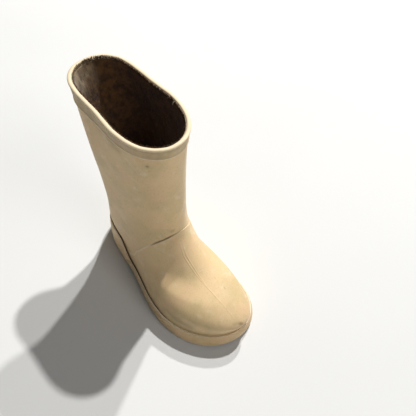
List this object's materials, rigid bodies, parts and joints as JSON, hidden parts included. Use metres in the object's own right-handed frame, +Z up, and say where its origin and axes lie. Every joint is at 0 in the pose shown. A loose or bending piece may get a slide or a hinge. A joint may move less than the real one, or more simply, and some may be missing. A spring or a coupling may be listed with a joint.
{
  "type": "child's wellington boot",
  "caption": "Right-foot rubber rain boot with a moulded hollow upper, banded collar, cupped outsole with low heel, and a loose insole; keeps the foot dry.",
  "frame": {"origin": "on the floor under the middle of the boot's plan", "axes": "+X to the toe, +Y to the inner side of the right foot, +Z up"},
  "size_m": [0.2136, 0.09, 0.2092],
  "materials": {
    "sole_rubber": "matte, light scuffs",
    "upper_rubber": "matte, bloomed and slightly grimy",
    "rim_rubber": "matte, paler",
    "lining": "brushed pile"
  },
  "bodies": {
    "root": {"outsole": "sole_rubber", "upper": "upper_rubber", "collar_band": "rim_rubber", "insole": "lining"}
  },
  "joints": []
}
